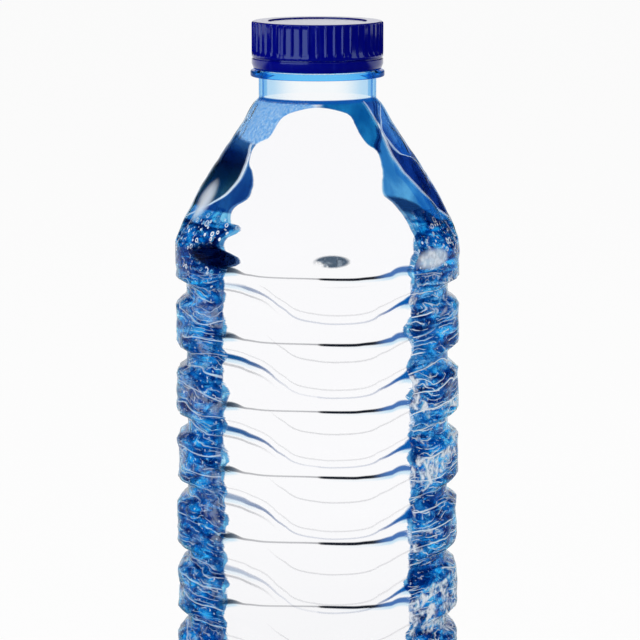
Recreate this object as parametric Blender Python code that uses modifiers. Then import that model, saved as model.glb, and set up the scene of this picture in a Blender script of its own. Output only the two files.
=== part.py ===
"""A half-litre drinks bottle of thin blue plastic, lightly crushed, with its screw cap on.

Metres, +Z up. The origin is the centre of the ring that the bottle stands on, and -Y is its front.
Heights climb from the base: heel, eight swept grooves, shoulder, neck, support ring, threaded finish.
"""

import math

import bpy

# The blown body.
BODY_RADIUS = 0.0331
BODY_WALL = 0.0004
HEEL_HEIGHT = 0.0075
STANDING_RING_OUTER = 0.0275
STANDING_RING_INNER = 0.0235
PUSH_UP_HEIGHT = 0.0062
BASE_FLUTES = 8
BASE_FLUTE_DEPTH = 0.0008

# The grooves that run round the body.
GROOVE_COUNT = 8
GROOVE_PITCH = 0.01564
LOWEST_GROOVE = 0.0220
GROOVE_DEPTH = 0.0023
GROOVE_MOUTH = 0.0061
GROOVE_FLOOR = 0.0028
BAND_CREASE_OFFSET = 0.0054
TOP_BAND = 0.0108

# The shoulder, from the top band to the neck.
SHOULDER_HEIGHT = 0.0334
SHOULDER_NECK_POWER = 0.75
SHOULDER_BASE_POWER = 1.3
SHOULDER_RIDGES = 4
SHOULDER_RIDGE_SHARE = 0.06
SHOULDER_RIDGE_REACH = 0.027

# The neck and the finish that the cap screws on.
NECK_RADIUS = 0.0136
NECK_WALL = 0.0008
NECK_LENGTH = 0.0050
SUPPORT_RING_RADIUS = 0.0155
SUPPORT_RING_THICKNESS = 0.0014
FINISH_RADIUS = 0.0124
BORE_RADIUS = 0.0109
BEAD_REACH = 0.0013
BEAD_HEIGHT = 0.0008
BEAD_RISE = 0.0012
EDGE_BREAK = 0.0003

# The closure: a knurled cap above the ring that broke off it.
SEAT_GAP = 0.0003
RUNNING_GAP = 0.0004
CAP_WALL = 0.0011
CAP_HEIGHT = 0.0082
CAP_ROOF = 0.0013
CAP_RECESS = 0.0004
RECESS_INSET = 0.0038
CAP_EDGE_BREAK = 0.0005
PLAIN_RIM = 0.0006
KNURL_COUNT = 48
KNURL_DEPTH = 0.00035
PLUG_CLEARANCE = 0.0004
PLUG_WALL = 0.0008
PLUG_DEPTH = 0.0022
BAND_HEIGHT = 0.0025
BAND_TAPER = 0.0004
BAND_FIN_HEIGHT = 0.0008
BAND_FIN_CLEARANCE = 0.0006

BODY_STEPS = 32
CAP_STEPS = 2 * KNURL_COUNT
BAND_STEPS = 32

# How a groove runs round the bottle: level and deep at the two sides, shallow and lower across front and back.
# Each row: degrees round from the front, rise, mouth share, upper and lower slope as shares of it, depth share.
GROOVE_RUN = (
    (-180, -0.00020, 1.05, 0.46, 0.34, 0.42),
    (-165, -0.00020, 1.05, 0.46, 0.34, 0.42),
    (-150, 0.00080, 0.89, 0.42, 0.34, 0.50),
    (-140, 0.00160, 0.75, 0.40, 0.34, 0.60),
    (-126, 0.00080, 0.82, 0.34, 0.30, 0.85),
    (-112, 0.00000, 1.00, 0.27, 0.27, 1.00),
    (-66, 0.00000, 1.00, 0.27, 0.27, 1.00),
    (-50, 0.00170, 0.82, 0.36, 0.30, 0.80),
    (-38, 0.00360, 0.69, 0.42, 0.36, 0.52),
    (-24, 0.00260, 0.72, 0.44, 0.36, 0.40),
    (-16, 0.00095, 0.89, 0.45, 0.36, 0.36),
    (-6, -0.00060, 1.11, 0.46, 0.34, 0.34),
    (5, -0.00105, 1.21, 0.46, 0.34, 0.34),
    (20, -0.00105, 1.21, 0.46, 0.34, 0.34),
    (31, -0.00065, 1.11, 0.44, 0.34, 0.38),
    (40, 0.00040, 0.92, 0.42, 0.32, 0.50),
    (50, 0.00050, 0.89, 0.34, 0.30, 0.80),
    (66, 0.00000, 1.00, 0.27, 0.27, 1.00),
    (112, 0.00000, 1.00, 0.27, 0.27, 1.00),
    (126, 0.00060, 0.89, 0.34, 0.30, 0.85),
    (140, 0.00110, 0.79, 0.40, 0.34, 0.60),
    (150, 0.00060, 0.89, 0.42, 0.34, 0.50),
    (165, -0.00020, 1.05, 0.46, 0.34, 0.42),
    (180, -0.00020, 1.05, 0.46, 0.34, 0.42),
)
TOP_GROOVE_SWEEP = 0.3

# The folds that handling left in the wall.
# Each row: degrees round from the front, height, half length along the fold, half width, depth, tilt in degrees.
FOLDS = (
    (-74, 0.1240, 0.0100, 0.0042, 0.0010, 24),
    (-66, 0.1075, 0.0085, 0.0036, 0.0009, -18),
    (-82, 0.0915, 0.0095, 0.0040, 0.0010, 15),
    (-64, 0.0760, 0.0085, 0.0036, 0.0009, -26),
    (-80, 0.0610, 0.0095, 0.0040, 0.0010, 20),
    (62, 0.1235, 0.0090, 0.0038, 0.0009, -22),
    (76, 0.1080, 0.0100, 0.0042, 0.0011, 26),
    (64, 0.0920, 0.0090, 0.0036, 0.0009, -16),
    (80, 0.0765, 0.0095, 0.0042, 0.0010, 28),
    (66, 0.0605, 0.0090, 0.0038, 0.0009, -24),
    (128, 0.1160, 0.0120, 0.0050, 0.0013, 34),
    (-142, 0.0985, 0.0125, 0.0050, 0.0013, -30),
    (168, 0.0845, 0.0130, 0.0052, 0.0014, 22),
    (-118, 0.0520, 0.0115, 0.0048, 0.0012, 18),
    (136, 0.0370, 0.0110, 0.0044, 0.0011, -20),
    (28, 0.0300, 0.0095, 0.0038, 0.0009, 14),
    (-74, 0.1520, 0.0080, 0.0034, 0.0008, 62),
    (76, 0.1500, 0.0085, 0.0036, 0.0009, -58),
    (106, 0.1540, 0.0090, 0.0038, 0.0010, 48),
    (5, 0.1418, 0.0036, 0.0020, 0.0008, 0),
)
DEEPEST_PRESS = 0.0031

# Heights that follow from the sizes above.
TOP_GROOVE = LOWEST_GROOVE + (GROOVE_COUNT - 1) * GROOVE_PITCH
SHOULDER_BASE = TOP_GROOVE + TOP_BAND
NECK_BASE = SHOULDER_BASE + SHOULDER_HEIGHT
RING_BASE = NECK_BASE + NECK_LENGTH
RING_TOP = RING_BASE + SUPPORT_RING_THICKNESS
BAND_BASE = RING_TOP + SEAT_GAP
BAND_TOP = BAND_BASE + BAND_HEIGHT
CAP_BASE = BAND_TOP + SEAT_GAP
CAP_TOP = CAP_BASE + CAP_HEIGHT
LIP = CAP_TOP - CAP_ROOF - SEAT_GAP
BEAD_BASE = BAND_BASE + BEAD_RISE
BEAD_RADIUS = FINISH_RADIUS + BEAD_REACH
CAP_BORE = BEAD_RADIUS + RUNNING_GAP
CAP_RADIUS = CAP_BORE + CAP_WALL

PET_BLUE = (0.045, 0.22, 0.62)
CAP_BLUE = (0.012, 0.014, 0.30)
BAND_BLUE = (0.010, 0.010, 0.34)


def plastic(name, colour, roughness, transmission):
    """A Principled material for one kind of plastic."""
    material = bpy.data.materials.new(name)
    material.use_nodes = True
    shader = material.node_tree.nodes["Principled BSDF"]
    shader.inputs["Base Color"].default_value = (*colour, 1)
    shader.inputs["Metallic"].default_value = 0
    shader.inputs["Roughness"].default_value = roughness
    shader.inputs["Transmission Weight"].default_value = transmission
    return material


def clear_scene():
    """Removes what the startup file holds."""
    for obj in list(bpy.data.objects):
        bpy.data.objects.remove(obj)


def turned(name, profile, steps, collection, material):
    """Turns (radius, height) points about Z with a Screw modifier and returns the mesh object it makes."""
    guide = bpy.data.meshes.new(name + "_profile")
    points = [(radius, 0, height) for radius, height in profile]
    guide.from_pydata(points, [(i, i + 1) for i in range(len(points) - 1)], [])
    blank = bpy.data.objects.new(name + "_profile", guide)
    collection.objects.link(blank)
    screw = blank.modifiers.new("Turn", "SCREW")
    screw.steps = steps
    screw.render_steps = steps
    screw.use_merge_vertices = True
    screw.merge_threshold = 0.00001
    bpy.context.view_layer.update()
    seen = blank.evaluated_get(bpy.context.evaluated_depsgraph_get())
    mesh = bpy.data.meshes.new_from_object(seen)
    bpy.data.objects.remove(blank)
    mesh.name = name
    piece = bpy.data.objects.new(name, mesh)
    collection.objects.link(piece)
    mesh.materials.clear()
    mesh.materials.append(material)
    return piece


def smooth(piece, angle):
    """Shades a piece smooth apart from its sharp edges."""
    piece.data.shade_smooth()
    piece.data.set_sharp_from_angle(angle=math.radians(angle))


def ease(share):
    """A smooth step from 0 to 1."""
    share = min(max(share, 0), 1)
    return share * share * (3 - 2 * share)


def along_run(degrees):
    """Rise, mouth share, upper slope, lower slope and depth share of a groove at this angle."""
    for near, far in zip(GROOVE_RUN, GROOVE_RUN[1:]):
        if near[0] <= degrees <= far[0]:
            share = ease((degrees - near[0]) / (far[0] - near[0]))
            return [a + (b - a) * share for a, b in zip(near[1:], far[1:])]
    return GROOVE_RUN[0][1:]


def groove_press(degrees, height):
    """How far the grooves press the wall in at this place."""
    press = 0
    rise, mouth_share, upper, lower, depth_share = along_run(degrees)
    mouth = GROOVE_MOUTH * mouth_share
    for level in range(GROOVE_COUNT):
        sweep = TOP_GROOVE_SWEEP if level == GROOVE_COUNT - 1 else 1
        above = height - LOWEST_GROOVE - level * GROOVE_PITCH - rise * sweep
        from_top = (mouth / 2 - above) / (mouth * upper)
        from_foot = (mouth / 2 + above) / (mouth * lower)
        press = max(press, GROOVE_DEPTH * depth_share * ease(min(from_top, from_foot)))
    return press


def fold_press(degrees, height):
    """How far the folds press the wall in at this place."""
    press = 0
    for angle, middle, half_length, half_width, depth, tilt in FOLDS:
        across = math.radians((degrees - angle + 180) % 360 - 180) * BODY_RADIUS
        up = height - middle
        turn = math.radians(tilt)
        along = (across * math.cos(turn) + up * math.sin(turn)) / half_length
        aside = (up * math.cos(turn) - across * math.sin(turn)) / half_width
        if abs(along) < 1 and abs(aside) < 1:
            press += depth * (1 - along * along) * (1 - abs(aside))
    return press


def ridge_press(degrees, height):
    """How far the flat panels between the shoulder's ridges lie inside the round."""
    fade = 1 - ease((NECK_BASE - height) / SHOULDER_RIDGE_REACH)
    start = ease((NECK_BASE - height) / (SHOULDER_HEIGHT * 0.2))
    flat = abs(math.cos(math.radians(degrees) * SHOULDER_RIDGES / 2))
    return SHOULDER_RIDGE_SHARE * flat * fade * start


def crushed(piece):
    """Presses grooves, panels and folds into the turned body, and flutes into its base."""
    for vertex in piece.data.vertices:
        x, y, height = vertex.co
        radius = math.hypot(x, y)
        degrees = math.degrees(math.atan2(x, -y))
        if HEEL_HEIGHT < height < NECK_BASE:
            press = groove_press(degrees, height) + fold_press(degrees, height)
            press = min(press, DEEPEST_PRESS)
            if height > SHOULDER_BASE:
                press += radius * ridge_press(degrees, height)
            vertex.co.x = x * (radius - press) / radius
            vertex.co.y = y * (radius - press) / radius
        elif height < PUSH_UP_HEIGHT + 2 * BODY_WALL and radius < STANDING_RING_INNER:
            share = math.sin(math.pi * radius / STANDING_RING_INNER)
            flute = 0.5 + 0.5 * math.cos(BASE_FLUTES * math.radians(degrees))
            vertex.co.z = height + BASE_FLUTE_DEPTH * share * flute


def shoulder_radius(height):
    """Radius of the shoulder, which swells quickly below the neck and rounds off into the body."""
    share = min((NECK_BASE - height) / SHOULDER_HEIGHT, 1)
    swell = (share**SHOULDER_NECK_POWER + 1 - (1 - share) ** SHOULDER_BASE_POWER) / 2
    return NECK_RADIUS + (BODY_RADIUS - NECK_RADIUS) * swell


def body_heights():
    """Heights of the rings of points up the grooved body, at the corners of each groove and between them."""
    offsets = (
        -GROOVE_PITCH / 2,
        -BAND_CREASE_OFFSET,
        -GROOVE_MOUTH / 2,
        -GROOVE_FLOOR / 2,
        GROOVE_FLOOR / 2,
        GROOVE_MOUTH / 2,
        BAND_CREASE_OFFSET,
    )
    heights = [
        LOWEST_GROOVE + level * GROOVE_PITCH + offset
        for level in range(GROOVE_COUNT)
        for offset in offsets
    ]
    return heights[1:] + [TOP_GROOVE + GROOVE_PITCH / 2]


def base_profile(radius, wall):
    """The underside from its centre to the top of the heel. The inside of the wall is the same line, wall in from it."""
    dome = [(0, PUSH_UP_HEIGHT)]
    for share in (0.3, 0.65, 0.88):
        inner = STANDING_RING_INNER * share
        dome.append((inner, PUSH_UP_HEIGHT * (1 - share**3)))
    ring = [(STANDING_RING_INNER, 0), (STANDING_RING_OUTER, 0)]
    heel = []
    for degrees in (30, 60, 90):
        turn = math.radians(degrees)
        out = STANDING_RING_OUTER + (radius - STANDING_RING_OUTER) * math.sin(turn)
        heel.append((out, HEEL_HEIGHT * (1 - math.cos(turn))))
    line = dome + ring + heel
    if wall == 0:
        return line
    inside = [(r, z + wall) for r, z in dome]
    inside += [(STANDING_RING_INNER, wall), (STANDING_RING_OUTER - wall / 2, wall)]
    for degrees, (r, z) in zip((30, 60, 90), heel):
        turn = math.radians(degrees)
        inside.append((r - wall * math.sin(turn), z + wall * math.cos(turn)))
    return inside


def bottle_profile():
    """The closed outline of the bottle's wall: up the inside from the middle of the base, over the lip, and down."""
    shoulder_shares = (1.0, 0.92, 0.76, 0.58, 0.4, 0.24, 0.11, 0.03)
    shoulder = [NECK_BASE - SHOULDER_HEIGHT * share for share in shoulder_shares]
    inside = base_profile(BODY_RADIUS, BODY_WALL)
    inside += [(BODY_RADIUS - BODY_WALL, z) for z in body_heights()]
    for z in shoulder:
        share = (z - SHOULDER_BASE) / SHOULDER_HEIGHT
        wall = BODY_WALL + (NECK_WALL - BODY_WALL) * share
        inside.append((shoulder_radius(z) - wall, z))
    inside += [
        (NECK_RADIUS - NECK_WALL, NECK_BASE),
        (NECK_RADIUS - NECK_WALL, RING_BASE),
        (BORE_RADIUS, RING_TOP),
        (BORE_RADIUS, LIP),
    ]
    outside = base_profile(BODY_RADIUS, 0)
    outside += [(BODY_RADIUS, z) for z in body_heights()]
    outside += [(shoulder_radius(z), z) for z in shoulder]
    outside += [
        (NECK_RADIUS, NECK_BASE),
        (NECK_RADIUS, RING_BASE),
        (SUPPORT_RING_RADIUS, RING_BASE + EDGE_BREAK),
        (SUPPORT_RING_RADIUS, RING_TOP - EDGE_BREAK),
        (SUPPORT_RING_RADIUS - EDGE_BREAK, RING_TOP),
        (FINISH_RADIUS, RING_TOP),
        (FINISH_RADIUS, BEAD_BASE),
        (BEAD_RADIUS, BEAD_BASE + EDGE_BREAK),
        (BEAD_RADIUS, BEAD_BASE + BEAD_HEIGHT - EDGE_BREAK),
        (FINISH_RADIUS, BEAD_BASE + BEAD_HEIGHT),
        (FINISH_RADIUS, LIP - EDGE_BREAK),
        (FINISH_RADIUS - EDGE_BREAK, LIP),
    ]
    return inside + outside[::-1]


def make_bottle(collection, material):
    """The bottle, blown in one piece: base, grooved wall, shoulder, neck, support ring and finish."""
    bottle = turned("bottle_shell", bottle_profile(), BODY_STEPS, collection, material)
    crushed(bottle)
    smooth(bottle, 35)
    return bottle


def cap_profile():
    """The cap's section: a skirt with a knurled side, a roof with a sunk middle, and a plug that fills the bore."""
    roof = CAP_TOP - CAP_ROOF
    rim = CAP_RADIUS - RECESS_INSET
    plug_outer = BORE_RADIUS - PLUG_CLEARANCE
    plug_inner = plug_outer - PLUG_WALL
    plug_end = LIP - PLUG_DEPTH
    return [
        (0, CAP_TOP - CAP_RECESS),
        (rim, CAP_TOP - CAP_RECESS),
        (rim, CAP_TOP),
        (CAP_RADIUS - CAP_EDGE_BREAK, CAP_TOP),
        (CAP_RADIUS, CAP_TOP - CAP_EDGE_BREAK),
        (CAP_RADIUS, CAP_BASE + PLAIN_RIM + KNURL_DEPTH),
        (CAP_RADIUS, CAP_BASE + PLAIN_RIM),
        (CAP_RADIUS, CAP_BASE),
        (CAP_BORE, CAP_BASE),
        (CAP_BORE, roof),
        (plug_outer, roof),
        (plug_outer, plug_end),
        (plug_inner, plug_end),
        (plug_inner, roof),
        (0, roof),
    ]


def make_cap(collection, material):
    """The screw cap, moulded in one piece, with V-shaped knurls up its side."""
    cap = turned("screw_cap", cap_profile(), CAP_STEPS, collection, material)
    half_step = math.pi / KNURL_COUNT
    for vertex in cap.data.vertices:
        x, y, height = vertex.co
        radius = math.hypot(x, y)
        beside = round(math.atan2(y, x) / half_step) % 2
        knurled = CAP_BASE + PLAIN_RIM + KNURL_DEPTH / 2 < height < CAP_TOP - CAP_EDGE_BREAK / 2
        if knurled and beside and radius > CAP_RADIUS - KNURL_DEPTH:
            vertex.co.x = x * (radius - KNURL_DEPTH) / radius
            vertex.co.y = y * (radius - KNURL_DEPTH) / radius
    smooth(cap, 25)
    return cap


def band_profile():
    """The tamper band's section: a plain ring with a fin turned in under the bead of the finish."""
    fin = FINISH_RADIUS + BAND_FIN_CLEARANCE
    return [
        (fin, BAND_BASE),
        (fin, BAND_BASE + BAND_FIN_HEIGHT / 2),
        (CAP_BORE, BAND_BASE + BAND_FIN_HEIGHT),
        (CAP_BORE, BAND_TOP),
        (CAP_RADIUS, BAND_TOP),
        (CAP_RADIUS, BAND_BASE + BAND_HEIGHT / 2),
        (CAP_RADIUS - BAND_TAPER, BAND_BASE),
        (fin, BAND_BASE),
    ]


def make_band(collection, material):
    """The ring that broke off the cap when the bottle was first opened."""
    band = turned("tamper_band", band_profile(), BAND_STEPS, collection, material)
    smooth(band, 30)
    return band


def main():
    clear_scene()
    parts = bpy.data.collections.new("crushed_bottle")
    bpy.context.scene.collection.children.link(parts)
    make_bottle(parts, plastic("bottle_plastic", PET_BLUE, 0.06, 1.0))
    make_cap(parts, plastic("cap_plastic", CAP_BLUE, 0.32, 0.0))
    make_band(parts, plastic("band_plastic", BAND_BLUE, 0.3, 0.0))


main()
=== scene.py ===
# %% Load the frame
import math

import bpy
import numpy as np
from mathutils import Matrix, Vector, noise


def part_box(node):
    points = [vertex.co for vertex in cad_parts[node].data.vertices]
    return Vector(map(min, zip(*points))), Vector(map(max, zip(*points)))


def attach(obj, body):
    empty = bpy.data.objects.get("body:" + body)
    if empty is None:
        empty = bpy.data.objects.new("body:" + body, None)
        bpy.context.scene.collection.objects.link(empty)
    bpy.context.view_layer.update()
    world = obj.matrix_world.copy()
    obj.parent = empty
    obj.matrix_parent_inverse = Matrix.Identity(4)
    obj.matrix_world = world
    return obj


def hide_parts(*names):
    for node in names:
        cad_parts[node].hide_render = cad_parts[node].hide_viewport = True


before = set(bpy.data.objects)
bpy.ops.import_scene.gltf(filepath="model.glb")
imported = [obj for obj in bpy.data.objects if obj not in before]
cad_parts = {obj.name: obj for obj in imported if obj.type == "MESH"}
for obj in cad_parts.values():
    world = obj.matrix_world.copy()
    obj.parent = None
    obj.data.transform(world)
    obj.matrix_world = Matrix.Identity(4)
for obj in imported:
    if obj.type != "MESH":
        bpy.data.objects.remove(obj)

bpy.ops.object.select_all(action="DESELECT")
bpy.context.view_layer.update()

# %% [markdown]
# # A crushed drinks bottle
#
# The real thing is a half-litre bottle of thin blue plastic. It was blown from a short tube, so it has one wall from
# the base to the mouth: a heel to stand on, swept grooves that stiffen the body, a shoulder with flat panels, a neck
# with a support ring, and a threaded finish. Its cap still sits on it, above the ring that broke off the cap when it
# was first opened. The solids of the CAD model give every main size, and this script gives the fine surface.
#
# The sizes come first. What a solid's box can say is read from it, so the pictures and the solids can't drift apart.

# %% Sizes read from the solids
BOTTLE_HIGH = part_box("bottle_shell")[1]
BAND_LOW, BAND_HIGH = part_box("tamper_band")
CAP_LOW, CAP_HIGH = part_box("screw_cap")

BODY_RADIUS = BOTTLE_HIGH.x
LIP = BOTTLE_HIGH.z
CAP_RADIUS = CAP_HIGH.x
CAP_BASE = CAP_LOW.z
CAP_TOP = CAP_HIGH.z
BAND_BASE = BAND_LOW.z
BAND_TOP = BAND_HIGH.z
print("body radius", round(BODY_RADIUS, 5), "lip height", round(LIP, 5), "cap radius", round(CAP_RADIUS, 5))

# %% Sizes of the blown body
MM = 0.001
BODY_WALL = 0.4 * MM
HEEL_HEIGHT = 7.5 * MM
STANDING_RING_OUTER = 27.5 * MM
STANDING_RING_INNER = 23.5 * MM
PUSH_UP_HEIGHT = 6.2 * MM
BASE_FLUTES = 8
BASE_FLUTE_DEPTH = 0.8 * MM

GROOVE_COUNT = 8
GROOVE_PITCH = 15.64 * MM
LOWEST_GROOVE = 22.0 * MM
GROOVE_DEPTH = 2.3 * MM
TOP_GROOVE = LOWEST_GROOVE + (GROOVE_COUNT - 1) * GROOVE_PITCH
TOP_GROOVE_SWEEP = 0.3

SHOULDER_BASE = TOP_GROOVE + 10.8 * MM
RING_BASE = BAND_BASE - 1.7 * MM
NECK_BASE = RING_BASE - 5.0 * MM
SHOULDER_HEIGHT = NECK_BASE - SHOULDER_BASE
NECK_RADIUS = 13.6 * MM
NECK_WALL = 0.8 * MM
RING_RADIUS = 15.5 * MM
RING_TOP = RING_BASE + 1.4 * MM
FINISH_RADIUS = 12.4 * MM
BORE_RADIUS = 10.9 * MM
BEAD_BASE = BAND_BASE + 1.2 * MM
BEAD_RADIUS = 13.7 * MM
BEAD_HEIGHT = 0.8 * MM

# %% [markdown]
# ## Turned pieces
#
# A bottle, a cap and a ring are all round, so each starts as an outline that is spun about the upright axis. By hand,
# you would add one point, extrude it along the outline, and use Spin. That is what this helper does. An outline runs
# up the inside of a wall and down its outside, which makes a closed shell whose faces point outwards.


# %% Extrude an outline and spin it
def turned(name, outline, steps):
    """Extrudes one point along (radius, height) pairs and spins the line into a closed round piece."""
    bpy.ops.object.select_all(action="DESELECT")
    bpy.ops.mesh.primitive_plane_add(size=MM)
    piece = bpy.context.object
    piece.name = name
    bpy.ops.object.mode_set(mode="EDIT")
    bpy.ops.mesh.select_all(action="SELECT")
    bpy.ops.mesh.merge(type="CENTER")
    radius, height = outline[0]
    bpy.ops.transform.translate(value=(radius, 0, height))
    for next_radius, next_height in outline[1:]:
        move = {"value": (next_radius - radius, 0, next_height - height)}
        bpy.ops.mesh.extrude_region_move(TRANSFORM_OT_translate=move)
        radius, height = next_radius, next_height
    bpy.ops.mesh.select_all(action="SELECT")
    bpy.ops.mesh.spin(steps=steps, angle=2 * math.pi, center=(0, 0, 0), axis=(0, 0, 1))
    bpy.ops.mesh.select_all(action="SELECT")
    bpy.ops.mesh.remove_doubles(threshold=0.002 * MM)
    bpy.ops.mesh.normals_make_consistent(inside=False)
    bpy.ops.object.mode_set(mode="OBJECT")
    print(name, len(piece.data.vertices), "points")
    return piece


def points_of(piece):
    """The piece's points as an array with a row for each."""
    flat = np.empty(len(piece.data.vertices) * 3, np.float32)
    piece.data.vertices.foreach_get("co", flat)
    return flat.reshape(-1, 3).astype(float)


def move_points(piece, points):
    """Gives the piece's points new places."""
    piece.data.vertices.foreach_set("co", points.astype(np.float32).ravel())
    piece.data.update()


def ease(share):
    """A smooth step from 0 to 1."""
    share = np.clip(share, 0, 1)
    return share * share * (3 - 2 * share)


def arc(centre, radius, start, stop, count):
    """(radius, height) points along an arc, its angles in degrees from straight out, turning up."""
    turns = np.radians(np.linspace(start, stop, count))
    return [(centre[0] + radius * math.cos(t), centre[1] + radius * math.sin(t)) for t in turns]


# %% [markdown]
# ## The bottle's outline
#
# The outline is the bottle before anything is pressed into it: a round heel, a straight body, a shoulder that swells
# quickly below the neck and rounds off into the body, and a finish with steps. The straight stretch gets a point about
# every millimetre, because the grooves will be pressed into it and need points to bend at.


# %% Base, body, shoulder and finish
RINGS_ON_BODY = 139
RINGS_ON_SHOULDER = 30
HEEL_RINGS = 8
BOTTLE_STEPS = 240


def shoulder_radius(height):
    """Radius of the shoulder at a height, before its panels are pressed in."""
    share = np.clip((NECK_BASE - height) / SHOULDER_HEIGHT, 0, 1)
    swell = (share**0.75 + 1 - (1 - share) ** 1.3) / 2
    return NECK_RADIUS + (BODY_RADIUS - NECK_RADIUS) * swell


def base_line(wall):
    """The underside from the middle to the heel. A wall above 0 gives the inside of it."""
    line = []
    for share in (0, 0.15, 0.3, 0.45, 0.6, 0.75, 0.88, 0.96):
        line.append((STANDING_RING_INNER * share, PUSH_UP_HEIGHT * (1 - share**3) + wall))
    line += [(STANDING_RING_INNER, wall), (STANDING_RING_OUTER - wall / 2, wall)]
    for turn in np.radians(np.linspace(0, 90, HEEL_RINGS + 1)[1:]):
        out = STANDING_RING_OUTER + (BODY_RADIUS - STANDING_RING_OUTER) * math.sin(turn)
        up = HEEL_HEIGHT * (1 - math.cos(turn))
        line.append((out - wall * math.sin(turn), up + wall * math.cos(turn)))
    return line


def wall_line(inner):
    """The body and shoulder from the heel to the neck."""
    line = []
    for height in np.linspace(HEEL_HEIGHT + MM, SHOULDER_BASE, RINGS_ON_BODY):
        line.append((BODY_RADIUS - BODY_WALL * inner, height))
    for height in np.linspace(SHOULDER_BASE, NECK_BASE, RINGS_ON_SHOULDER + 1)[1:]:
        share = (height - SHOULDER_BASE) / SHOULDER_HEIGHT
        wall = BODY_WALL + (NECK_WALL - BODY_WALL) * share
        line.append((float(shoulder_radius(height)) - wall * inner, height))
    return line


EDGE = 0.3 * MM
neck_outside = [
    (NECK_RADIUS, NECK_BASE + EDGE),
    (NECK_RADIUS, NECK_BASE + 2 * EDGE),
    (NECK_RADIUS, RING_BASE - 2 * EDGE),
    (NECK_RADIUS, RING_BASE - EDGE),
    (NECK_RADIUS + EDGE, RING_BASE),
    *arc((RING_RADIUS - EDGE, RING_BASE + EDGE), EDGE, -90, 0, 4),
    *arc((RING_RADIUS - EDGE, RING_TOP - EDGE), EDGE, 0, 90, 4),
    (FINISH_RADIUS, RING_TOP),
    (FINISH_RADIUS, BEAD_BASE),
    (BEAD_RADIUS, BEAD_BASE + EDGE / 2),
    (BEAD_RADIUS, BEAD_BASE + EDGE),
    (FINISH_RADIUS + EDGE, BEAD_BASE + BEAD_HEIGHT),
    (FINISH_RADIUS, BEAD_BASE + BEAD_HEIGHT + EDGE),
    (FINISH_RADIUS, (BEAD_BASE + LIP) / 2),
    *arc((FINISH_RADIUS - EDGE, LIP - EDGE), EDGE, 0, 90, 4),
]
neck_inside = [
    (NECK_RADIUS - NECK_WALL, NECK_BASE + EDGE),
    (NECK_RADIUS - NECK_WALL, NECK_BASE + 2 * EDGE),
    (NECK_RADIUS - NECK_WALL, RING_BASE - EDGE),
    (NECK_RADIUS - NECK_WALL, RING_BASE),
    (BORE_RADIUS, RING_TOP),
    (BORE_RADIUS, LIP - EDGE),
]
inside = base_line(BODY_WALL) + wall_line(1) + neck_inside
outside = base_line(0) + wall_line(0) + neck_outside
bottle = turned("bottle_shell_fine", inside + outside[::-1], BOTTLE_STEPS)

# %% [markdown]
# ## Grooves
#
# Eight grooves stiffen the body, and each one is a full ring. At the two sides of the bottle it is deep and level.
# Across the front and the back it gets shallow and wide and sags between two humps, which is what draws the long waves.
# No modelling tool makes such a run on a round wall, so the points are pressed in by a rule: where a point is round the
# bottle says how high the groove passes there, how deep it is and how wide.

# %% How a groove runs round the bottle
# Each row: degrees round from the front, rise, height of the mouth, upper slope, lower slope, depth share.
GROOVE_RUN = np.array(
    [
        (-180, -0.20 * MM, 6.4 * MM, 0.46, 0.34, 0.42),
        (-165, -0.20 * MM, 6.4 * MM, 0.46, 0.34, 0.42),
        (-150, 0.80 * MM, 5.4 * MM, 0.42, 0.34, 0.50),
        (-140, 1.60 * MM, 4.6 * MM, 0.40, 0.34, 0.60),
        (-126, 0.80 * MM, 5.0 * MM, 0.34, 0.30, 0.85),
        (-112, 0.00 * MM, 6.1 * MM, 0.27, 0.27, 1.00),
        (-66, 0.00 * MM, 6.1 * MM, 0.27, 0.27, 1.00),
        (-50, 1.70 * MM, 5.0 * MM, 0.36, 0.30, 0.80),
        (-38, 3.60 * MM, 4.2 * MM, 0.42, 0.36, 0.52),
        (-24, 2.60 * MM, 4.4 * MM, 0.44, 0.36, 0.40),
        (-16, 0.95 * MM, 5.4 * MM, 0.45, 0.36, 0.36),
        (-6, -0.60 * MM, 6.8 * MM, 0.46, 0.34, 0.34),
        (5, -1.05 * MM, 7.4 * MM, 0.46, 0.34, 0.34),
        (20, -1.05 * MM, 7.4 * MM, 0.46, 0.34, 0.34),
        (31, -0.65 * MM, 6.8 * MM, 0.44, 0.34, 0.38),
        (40, 0.40 * MM, 5.6 * MM, 0.42, 0.32, 0.50),
        (50, 0.50 * MM, 5.4 * MM, 0.34, 0.30, 0.80),
        (66, 0.00 * MM, 6.1 * MM, 0.27, 0.27, 1.00),
        (112, 0.00 * MM, 6.1 * MM, 0.27, 0.27, 1.00),
        (126, 0.60 * MM, 5.4 * MM, 0.34, 0.30, 0.85),
        (140, 1.10 * MM, 4.8 * MM, 0.40, 0.34, 0.60),
        (150, 0.60 * MM, 5.4 * MM, 0.42, 0.34, 0.50),
        (165, -0.20 * MM, 6.4 * MM, 0.46, 0.34, 0.42),
        (180, -0.20 * MM, 6.4 * MM, 0.46, 0.34, 0.42),
    ]
)


def along(run, column, angle):
    """A smooth curve through one column of a run's rows, read at these angles."""
    knots, values = run[:, 0], run[:, column]
    slopes = np.gradient(values, knots)
    left = np.clip(np.searchsorted(knots, angle) - 1, 0, len(knots) - 2)
    span = knots[left + 1] - knots[left]
    t = np.clip((angle - knots[left]) / span, 0, 1)
    start = (2 * t**3 - 3 * t**2 + 1) * values[left] + (t**3 - 2 * t**2 + t) * span * slopes[left]
    end = (3 * t**2 - 2 * t**3) * values[left + 1] + (t**3 - t**2) * span * slopes[left + 1]
    return start + end


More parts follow.
